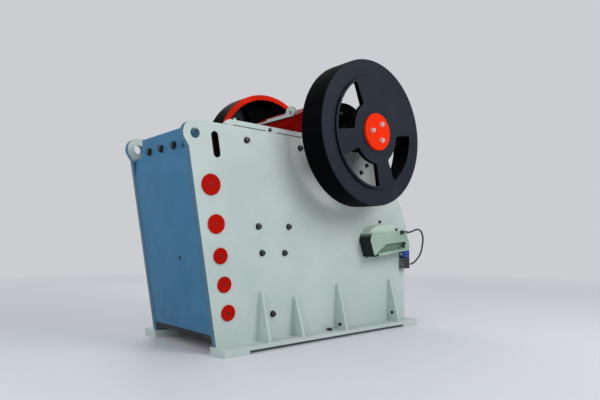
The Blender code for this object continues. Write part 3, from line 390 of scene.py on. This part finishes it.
def solidCopy(node, settings=copySettings):  # a merged copy of a CAD solid
    form = bmesh.new()
    form.from_mesh(nodes[node].data)
    bmesh.ops.remove_doubles(form, verts=form.verts, dist=settings["merge"])
    flat = math.radians(settings["flat"])
    bmesh.ops.dissolve_limit(form, angle_limit=flat, verts=form.verts, edges=form.edges)
    return form


bodyOf = {node: body for body, members in frame["record"]["behaviour"]["bodies"].items() for node in members}

# start of the node's name: finish, width of the softened edges
dressSettings = {
    "side_plate": ("platePaint", 0.004), "top_rail": ("mintPaint", 0.003), "foot_": ("mintPaint", 0.003),
    "bearing_base": ("mintPaint", 0.003), "rear_end": ("mintPaint", 0.005), "nose_guard": ("mintPaint", 0.003),
    "adjuster_left": ("adjusterPaint", 0.006), "adjuster_right": ("adjusterPaint", 0.006),
    "front_panel": ("bluePaint", 0.003), "front_end": ("frontEndPaint", 0.006),
    "fixed_jaw_die": ("redPaint", 0.003), "pitman": ("redPaint", 0.006),
    "moving_jaw_die": ("jawSteel", 0.003), "cheek_plate": ("jawSteel", 0.003),
    "toggle_plate": ("jawSteel", 0.003), "toggle_seat": ("jawSteel", 0.003),
    "frame_pin": ("orangePaint", 0.002), "return_spring": ("orangePaint", 0.0), "hub_cap": ("hubPaint", 0.002),
    "bearing_cap": ("blackPaint", 0.004), "bearing_left": ("bearingPaint", 0.003),
    "bearing_right": ("bearingPaint", 0.003), "spring_cap": ("blackPaint", 0.002),
    "eccentric_shaft": ("brightSteel", 0.003), "wedge_": ("brightSteel", 0.002),
    "tension_rod": ("brightSteel", 0.002), "valve_block": ("hydraulicBlue", 0.003),
}


def dressNodes(settings):
    for node in sorted(nodes):
        for start, (finish, edge) in settings.items():
            if node.startswith(start):
                settle("skin_" + node, solidCopy(node), finish, bodyOf[node], (node,), edge)
                break


# tread and ringInner are distances from the shaft's axis, ringFace and faceOut from the middle of the machine;
# level is how squarely a face looks sideways
wheelSettings = {"tread": 0.895, "ringInner": 0.770, "ringFace": 0.880, "faceOut": 1.12, "level": 0.7,
                 "edge": 0.004, "finishes": ("wheelFace", "wheelTreadAndWallShade", "wheelRing")}


def dressWheels(settings):  # tread, recess and window walls are black, the walls as painted shade, and the rim's inner side has a red ring
    for name, _ in sides:
        form = solidCopy("flywheel_" + name)
        for face in form.faces:
            radius = min(math.hypot(v.co.x - shaft["x"], v.co.z - shaft["z"]) for v in face.verts)
            depth, level = abs(face.calc_center_median().y), abs(face.normal.y) > settings["level"]
            if radius > settings["tread"] and not level:
                face.material_index = 1
            elif level and depth < settings["ringFace"] and radius > settings["ringInner"]:
                face.material_index = 2
            # painted shade: the walls of the recess, windows and hub take the black tread finish
            elif depth < settings["faceOut"] or not level:
                face.material_index = 1
        settle("skin_flywheel_" + name, form, settings["finishes"], "rotor",
               ("flywheel_" + name,), settings["edge"])


dressNodes(dressSettings)
dressWheels(wheelSettings)
print("solids dressed")


# Bolts

# every size is the width across flats, the head's height and the washer's radius, 0 for no washer;
# thick, taper, chamfer and rise are shares of such a size, and facing is how squarely the top looks outward
headSettings = {"thick": 0.22, "taper": 0.96, "sides": 24, "washerSink": 0.002, "headSink": 0.0005,
                "chamfer": 0.14, "rise": 0.10, "facing": 0.99}


def addBolt(form, place, outward, size, turn=0.0, settings=headSettings):  # hex head with a chamfered top
    flats, height, washer = size
    outward = Vector(outward).normalized()
    lean = outward.to_track_quat("Z", "Y").to_matrix().to_4x4()
    stand = Matrix.Translation(place) @ lean @ Matrix.Rotation(turn, 4, "Z")
    thick, sink = height * settings["thick"], settings["washerSink"]
    if washer:
        middle = Matrix.Translation((0, 0, thick / 2 - sink / 2))
        bmesh.ops.create_cone(form, cap_ends=True, segments=settings["sides"], radius1=washer,
                              radius2=washer * settings["taper"], depth=thick + sink, matrix=stand @ middle)
    radius = flats / math.sqrt(3.0)
    middle = Matrix.Translation((0, 0, thick + height / 2 - settings["headSink"]))
    head = bmesh.ops.create_cone(form, cap_ends=True, segments=6, radius1=radius, radius2=radius, depth=height,
                                 matrix=stand @ middle)
    faces = {face for vertex in head["verts"] for face in vertex.link_faces}
    top = [face for face in faces if face.normal.dot(outward) > settings["facing"]]
    chamfer, rise = radius * settings["chamfer"], height * settings["rise"]
    bmesh.ops.inset_region(form, faces=top, thickness=chamfer, depth=rise)


def settleBolts(name, form, finish="darkBolt", body="frame"):
    settle(name, form, finish, body, sharp=30.0)


# x and z on a side plate's face; turn is how far each bolt stands turned from the last
plateBoltSettings = {
    "large": {"size": (0.055, 0.022, 0.038), "turn": 0.4,
              "places": ((-1.2289, 2.267), (-0.4419, 2.276), (-1.0549, 1.323), (-0.6149, 1.329),
                         (-1.0009, 1.030), (-0.6749, 1.026), (-0.8429, 0.350))},
    "small": {"size": (0.036, 0.014, 0.024), "turn": 0.4, "places": ((-0.9058, 2.430), (1.036, 1.430))},
}

# on the gussets' front faces and on top of the flange: x, distance from the middle and height
footBoltSettings = {
    "gussets": {"size": (0.036, 0.014, 0.022), "places": ((0.16765, 0.776, 0.140), (1.19765, 0.778, 0.195))},
    "flange": {"size": (0.055, 0.022, 0.036), "place": (0.015, 0.745, 0.078)},
}


def makePlateBolts(settings, foot):
    for name, sign in sides:
        form = bmesh.new()
        for group in settings.values():
            for number, (x, z) in enumerate(group["places"]):
                addBolt(form, (x, sign * plateFace, z), (0, sign, 0), group["size"], group["turn"] * number)
        for x, y, z in foot["gussets"]["places"]:
            addBolt(form, (x, sign * y, z), (-1, 0, 0), foot["gussets"]["size"])
        x, y, z = foot["flange"]["place"]
        addBolt(form, (x, sign * y, z), (0, 0, 1), foot["flange"]["size"])
        settleBolts("plate_bolts_" + name, form)


# bolts in a row above the panel's bend, and a small plug below it, where the panel leans forward from its foot
panelBoltSettings = {"x": -1.9007, "z": 2.176, "y": (0.256, -0.028, -0.318), "size": (0.072, 0.026, 0.046),
                     "turn": 0.3,
                     "plug": {"z": 0.977, "y": -0.188, "size": (0.030, 0.005, 0.020), "lean": 10.0,
                              "foot": {"x": -1.6087, "z": 0.250}}}


def makePanelBolts(settings):
    form = bmesh.new()
    for number, y in enumerate(settings["y"]):
        place = (settings["x"], y, settings["z"])
        addBolt(form, place, (-1, 0, 0), settings["size"], settings["turn"] * number)
    plug = settings["plug"]
    lean = math.radians(plug["lean"])
    x = plug["foot"]["x"] + (plug["foot"]["z"] - plug["z"]) * math.tan(lean)
    addBolt(form, (x, plug["y"], plug["z"]), (-math.cos(lean), 0, -math.sin(lean)), plug["size"])
    settleBolts("panel_bolts", form)


coverScrewSettings = {"size": (0.022, 0.004, 0.014), "turn": 0.5}


def makeCoverScrews(settings):  # a small dark screw in the middle of each frame pin's cover
    for name, sign in sides:
        form = bmesh.new()
        pins = sorted(node for node in nodes if node.startswith("frame_pin_" + name))
        for number, pin in enumerate(pins, 1):
            low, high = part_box(pin)
            face = max(abs(low[1]), abs(high[1]))
            addBolt(form, ((low[0] + high[0]) / 2, sign * face, (low[2] + high[2]) / 2), (0, sign, 0),
                    settings["size"], settings["turn"] * number)
        settleBolts("cover_screws_" + name, form)


# rings of bolts round the shaft, with degrees counted upwards from the rear, and the clamp bolts beside it
bearingBoltSettings = {
    "flange": {"radius": 0.515, "degrees": (-142, -125, -104, -76, -55, -38), "proud": 0.035,
               "size": (0.046, 0.020, 0.030), "turn": 0.2},
    "cover": {"radius": 0.325, "degrees": (22.5, 67.5, 112.5, 157.5, 202.5, 247.5, 292.5, 337.5),
              "proud": 0.0755, "size": (0.030, 0.013, 0.019), "turn": 0.2},
    "clamp": {"reach": 0.53, "depths": (0.645, 0.715), "rise": 0.0755, "size": (0.046, 0.030, 0.0)},
}


def onRing(radius, degrees):
    angle = math.radians(degrees)
    return shaft["x"] + radius * math.cos(angle), shaft["z"] + radius * math.sin(angle)


def makeBearingBolts(settings):
    for name, sign in sides:
        forms = {"flange": bmesh.new(), "cover": bmesh.new()}
        for kind, form in forms.items():
            ring = settings[kind]
            face = sign * (plateFace + ring["proud"])
            for degrees in ring["degrees"]:
                x, z = onRing(ring["radius"], degrees)
                addBolt(form, (x, face, z), (0, sign, 0), ring["size"], ring["turn"])
        clamp = settings["clamp"]
        for side in (-1, 1):
            x, z = shaft["x"] + side * clamp["reach"], shaft["z"] + clamp["rise"]
            for depth in clamp["depths"]:
                addBolt(forms["flange"], (x, sign * depth, z), (0, 0, 1), clamp["size"])
        settleBolts("bearing_bolts_" + name, forms["flange"])
        settleBolts("cover_bolts_" + name, forms["cover"], "zincNut")


hubBoltSettings = {"radius": 0.115, "degrees": (60, 180, 300), "face": 1.2806, "size": (0.052, 0.026, 0.034),
                   "turn": 0.3}


def makeHubBolts(settings):
    for name, sign in sides:
        form = bmesh.new()
        for degrees in settings["degrees"]:
            x, z = onRing(settings["radius"], degrees)
            addBolt(form, (x, sign * settings["face"], z), (0, sign, 0), settings["size"], settings["turn"])
        settleBolts("hub_bolts_" + name, form, "chrome", "rotor")


# x, z and distance from the middle
adjusterBoltSettings = {
    "large": {"size": (0.030, 0.013, 0.018), "turn": 0.35,
              "places": ((1.208, 1.326, 0.85), (1.322, 1.135, 0.90), (1.262, 1.105, 0.90))},
    "small": {"size": (0.024, 0.012, 0.015), "turn": 0.35,
              "places": ((0.751, 0.985, 0.90), (0.709, 0.974, 0.90))},
}


def makeAdjusterBolts(settings):
    for name, sign in sides:
        form = bmesh.new()
        for group in settings.values():
            for number, (x, z, depth) in enumerate(group["places"]):
                addBolt(form, (x, sign * depth, z), (0, sign, 0), group["size"], group["turn"] * number)
        settleBolts("adjuster_bolts_" + name, form)


railStudSettings = {"x": -1.359, "y": 0.662, "size": (0.030, 0.022, 0.020)}


def makeRailStuds(settings):
    for name, sign in sides:
        form = bmesh.new()
        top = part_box("top_rail_" + name)[1][2]
        addBolt(form, (settings["x"], sign * settings["y"], top), (0, 0, 1), settings["size"])
        settleBolts("rail_stud_" + name, form, "chrome")


# eye is x and z of the tension rod's front end, and the nuts' distances are measured from it along the rod
rodNutSettings = {"eye": (-0.24735, 0.245), "tilt": 8.0, "distances": (2.204, 2.234),
                  "size": (0.075, 0.026, 0.0), "turn": 0.5}


def makeRodNuts(settings):
    form = bmesh.new()
    tilt, (x, z) = math.radians(settings["tilt"]), settings["eye"]
    along = (math.cos(tilt), 0.0, math.sin(tilt))
    for number, distance in enumerate(settings["distances"]):
        place = (x + distance * math.cos(tilt), 0.0, z + distance * math.sin(tilt))
        addBolt(form, place, along, settings["size"], settings["turn"] * number)
    settleBolts("rod_nuts", form, "zincNut")


makePlateBolts(plateBoltSettings, footBoltSettings)
makePanelBolts(panelBoltSettings)
makeCoverScrews(coverScrewSettings)
makeBearingBolts(bearingBoltSettings)
makeHubBolts(hubBoltSettings)
makeAdjusterBolts(adjusterBoltSettings)
makeRailStuds(railStudSettings)
makeRodNuts(rodNutSettings)
print("bolts made")


# Welds

def addBead(form, start, end, radius):
    start, end = Vector(start), Vector(end)
    along = end - start
    stand = Matrix.Translation((start + end) / 2) @ along.to_track_quat("Z", "Y").to_matrix().to_4x4()
    bmesh.ops.create_cone(form, cap_ends=True, segments=10, radius1=radius, radius2=radius, depth=along.length,
                          matrix=stand)


# gussets: x and height of the tip, where the bead stops short by the gap; reach is how far they stand out
weldSettings = {"bead": 0.008, "thickness": 0.030, "reach": 0.185, "gap": 0.004, "flangeTop": 0.078,
                "gussets": ((-1.01735, 0.609), (-0.52735, 0.508), (0.18265, 0.620), (1.21265, 0.632)),
                "ends": (-1.53, 1.56)}


def makeWelds(settings):
    bead, low, half = settings["bead"], settings["flangeTop"], settings["thickness"] / 2
    for name, sign in sides:
        form = bmesh.new()
        face, far = sign * plateFace, sign * (plateFace + settings["reach"])
        for x, high in settings["gussets"]:
            for edge in (-half, half):
                addBead(form, (x + edge, face, low), (x + edge, face, high - settings["gap"]), bead)
                addBead(form, (x + edge, face, low), (x + edge, far, low), bead)
        start, end = settings["ends"]
        addBead(form, (start, face, low), (end, face, low), bead)
        settle("welds_" + name, form, "weldPaint", "frame", sharp=40.0)


makeWelds(weldSettings)
print("welds made")


# Hose, feed line and valve block

# route: x and z of the hose in the upright plane at y; nut and sleeve: radius and length
hoseSettings = {
    "route": ((1.39295, 1.275), (1.42265, 1.275), (1.45265, 1.275), (1.52265, 1.280), (1.61965, 1.290),
              (1.74265, 1.315), (1.84265, 1.342), (1.94265, 1.315), (1.98765, 1.220), (1.97465, 1.114),
              (1.92765, 0.995), (1.85265, 0.920), (1.76265, 0.862), (1.69265, 0.840), (1.65265, 0.840),
              (1.62265, 0.840), (1.58795, 0.840)),
    "y": -0.7453, "radius": 0.0125, "steps": 2,
    "nut": (0.021, 0.022), "sleeve": (0.0165, 0.034), "taper": 0.94, "overlap": 0.001,
}


def smoothRoute(points, steps):  # a Catmull-Rom curve through the points
    ends = [points[0], *points, points[-1]]
    result = []
    for index in range(1, len(ends) - 2):
        before, start, end, after = ends[index - 1:index + 3]
        for step in range(steps):
            t = step / steps
            result.append(tuple(0.5 * (2 * start[k] + (end[k] - before[k]) * t
                                       + (2 * before[k] - 5 * start[k] + 4 * end[k] - after[k]) * t * t
                                       + (3 * start[k] - before[k] - 3 * end[k] + after[k]) * t ** 3)
                                for k in range(2)))
    result.append(tuple(points[-1]))
    return result


def makeFerrules(settings):  # a nut and a crimped sleeve at each end, where the hose meets metal
    pieces = []
    nut, sleeve = settings["nut"], settings["sleeve"]
    turn = Matrix.Rotation(math.radians(90.0), 4, "Y")
    for number, (x, z) in enumerate((settings["route"][0], settings["route"][-1]), 1):
        form = bmesh.new()
        for segments, (radius, length), start in ((6, nut, 0.0), (24, sleeve, nut[1] - settings["overlap"])):
            place = Matrix.Translation((x + start + length / 2, settings["y"], z)) @ turn
            bmesh.ops.create_cone(form, cap_ends=True, segments=segments, radius1=radius,
                                  radius2=radius * settings["taper"], depth=length, matrix=place)
        pieces.append(settle("hose_ferrule_" + str(number), form, "zincNut", "frame",
                             edge=0.001, sharp=30.0))
    return pieces


def makeHose(settings):
    curve = bpy.data.curves.new("hose", "CURVE")
    curve.dimensions = "3D"
    curve.bevel_depth = settings["radius"]
    curve.bevel_resolution = 6
    curve.use_fill_caps = True
    line = curve.splines.new("POLY")
    points = smoothRoute(settings["route"], settings["steps"])
    line.points.add(len(points) - 1)
    for point, (x, z) in zip(line.points, points):
        point.co = (x, settings["y"], z, 1.0)
    line.use_smooth = True
    hose = bpy.data.objects.new("hydraulic_hose", curve)
    bpy.context.scene.collection.objects.link(hose)
    curve.materials.append(finishes["hoseRubber"])
    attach(hose, "frame")
    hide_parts("adjuster_hose")
    makeFerrules(settings)


# a thin pipe from a fitting on the housing's face to the hose's end
feedSettings = {"fitting": (1.257, -0.90, 1.289), "size": (0.050, 0.030, 0.026), "radius": 0.007,
                "route": ((1.257, -0.922, 1.289), (1.300, -0.918, 1.296), (1.370, -0.914, 1.299),
                          (1.412, -0.900, 1.298), (1.430, -0.860, 1.293), (1.432, -0.800, 1.284),
                          (1.431, -0.757, 1.276))}


def makeFeedLine(settings):
    form = bmesh.new()
    addBolt(form, settings["fitting"], (0, -1, 0), settings["size"])
    points = [Vector(place) for place in settings["route"]]
    radius = settings["radius"]
    for start, end in zip(points, points[1:]):
        addBead(form, start, end, radius)
        bmesh.ops.create_icosphere(form, subdivisions=2, radius=radius, matrix=Matrix.Translation(end))
    settle("feed_line", form, "darkBolt", "frame", sharp=60.0)


# screws on the block's outer face at x and z, a plug on its front, and short pipes across its lower half,
# each from the first y down to the second
blockSettings = {
    "front": 1.46765,
    "screws": {"y": -0.7903, "size": (0.016, 0.006, 0.0),
               "places": ((1.495, 0.975), (1.560, 0.975), (1.495, 1.085), (1.560, 1.105))},
    "plug": {"y": -0.745, "z": 0.985, "size": (0.034, 0.018, 0.022)},
    "pipes": {"levels": (0.925, 0.888, 0.851, 0.814), "drop": 0.030, "y": (-0.706, -0.784), "radius": 0.007},
}


def makeBlockFittings(settings):
    front, screws, plug, pipes = settings["front"], settings["screws"], settings["plug"], settings["pipes"]
    form = bmesh.new()
    for x, z in screws["places"]:
        addBolt(form, (x, screws["y"], z), (0, -1, 0), screws["size"])
    settleBolts("block_screws", form)
    form = bmesh.new()
    addBolt(form, (front, plug["y"], plug["z"]), (-1, 0, 0), plug["size"])
    settleBolts("block_plug", form, "chrome")
    form = bmesh.new()
    near, far = pipes["y"]
    for level in pipes["levels"]:
        addBead(form, (front, near, level), (front, far, level - pipes["drop"]), pipes["radius"])
    settle("block_pipes", form, "zincNut", "frame", sharp=60.0)


makeHose(hoseSettings)
makeFeedLine(feedSettings)
makeBlockFittings(blockSettings)
print("hydraulics made")


# Floor and light

# the floor turns into the backdrop between the two distances of fade
stageSettings = {"floor": (0.66, 0.68, 0.71), "floorRough": 0.6, "floorSize": 60.0, "fade": (4.5, 13.0),
                 "world": (0.94, 0.97, 1.0), "worldStrength": 0.60, "backdrop": (0.60, 0.61, 0.64)}


def addSeen(tree):  # 1 for what the camera sees, also by way of metal or glass
    path = tree.nodes.new("ShaderNodeLightPath")
    bounced = addMath(tree, "MAXIMUM", path.outputs["Is Glossy Ray"], path.outputs["Is Transmission Ray"])
    return addMath(tree, "MAXIMUM", path.outputs["Is Camera Ray"], bounced)


def makeFloor(settings):
    form = bmesh.new()
    bmesh.ops.create_grid(form, x_segments=1, y_segments=1, size=settings["floorSize"])
    mesh = bpy.data.meshes.new("floor")
    form.to_mesh(mesh)
    form.free()
    floor = bpy.data.objects.new("floor", mesh)
    bpy.context.scene.collection.objects.link(floor)
    finish, tree, shader = newFinish("floorFinish")
    shader.inputs["Base Color"].default_value = (*settings["floor"], 1.0)
    shader.inputs["Roughness"].default_value = settings["floorRough"]
    far = tree.nodes.new("ShaderNodeVectorMath")
    far.operation = "LENGTH"
    tree.links.new(tree.nodes.new("ShaderNodeTexCoord").outputs["Object"], far.inputs[0])
    fade = addRange(tree, far.outputs["Value"], *settings["fade"])
    glow = tree.nodes.new("ShaderNodeEmission")
    glow.inputs["Color"].default_value = (*settings["backdrop"], 1.0)
    blend = tree.nodes.new("ShaderNodeMixShader")
    tree.links.new(addMath(tree, "MULTIPLY", fade, addSeen(tree)), blend.inputs["Fac"])
    tree.links.new(shader.outputs["BSDF"], blend.inputs[1])
    tree.links.new(glow.outputs["Emission"], blend.inputs[2])
    tree.links.new(blend.outputs["Shader"], tree.nodes["Material Output"].inputs["Surface"])
    mesh.materials.append(finish)


def makeWorld(settings):
    world = bpy.data.worlds.new("studio")
    world.use_nodes = True
    tree = world.node_tree
    light = tree.nodes["Background"]
    light.inputs["Color"].default_value = (*settings["world"], 1.0)
    light.inputs["Strength"].default_value = settings["worldStrength"]
    backdrop = tree.nodes.new("ShaderNodeBackground")
    backdrop.inputs["Color"].default_value = (*settings["backdrop"], 1.0)
    choose = tree.nodes.new("ShaderNodeMixShader")
    tree.links.new(addSeen(tree), choose.inputs["Fac"])
    tree.links.new(light.outputs["Background"], choose.inputs[1])
    tree.links.new(backdrop.outputs["Background"], choose.inputs[2])
    tree.links.new(choose.outputs["Shader"], tree.nodes["World Output"].inputs["Surface"])
    bpy.context.scene.world = world


lampSettings = {
    "keyLamp": {"place": (2.2, -8.4, 6.2), "aim": (0.0, 0.0, 1.4), "size": 4.5, "power": 430,
                "colour": (1.0, 0.985, 0.96)},
    "fillLamp": {"place": (-7.5, -2.5, 4.0), "aim": (0.0, 0.0, 1.4), "size": 4.5, "power": 150,
                 "colour": (0.93, 0.96, 1.0)},
    "rimLamp": {"place": (3.0, 7.0, 6.5), "aim": (0.0, 0.0, 1.6), "size": 5.0, "power": 170,
                "colour": (1.0, 0.98, 0.95)},
}


def makeLamps(settings):
    for name, row in settings.items():
        light = bpy.data.lights.new(name, "AREA")
        light.size = row["size"]
        light.energy = row["power"]
        light.color = row["colour"]
        lamp = bpy.data.objects.new(name, light)
        bpy.context.scene.collection.objects.link(lamp)
        turn = (Vector(row["aim"]) - Vector(row["place"])).to_track_quat("-Z", "Y").to_matrix().to_4x4()
        lamp.matrix_world = Matrix.Translation(row["place"]) @ turn


makeFloor(stageSettings)
makeWorld(stageSettings)
makeLamps(lampSettings)
bpy.context.scene.view_settings.view_transform = "Standard"
print("stage and lamps set")
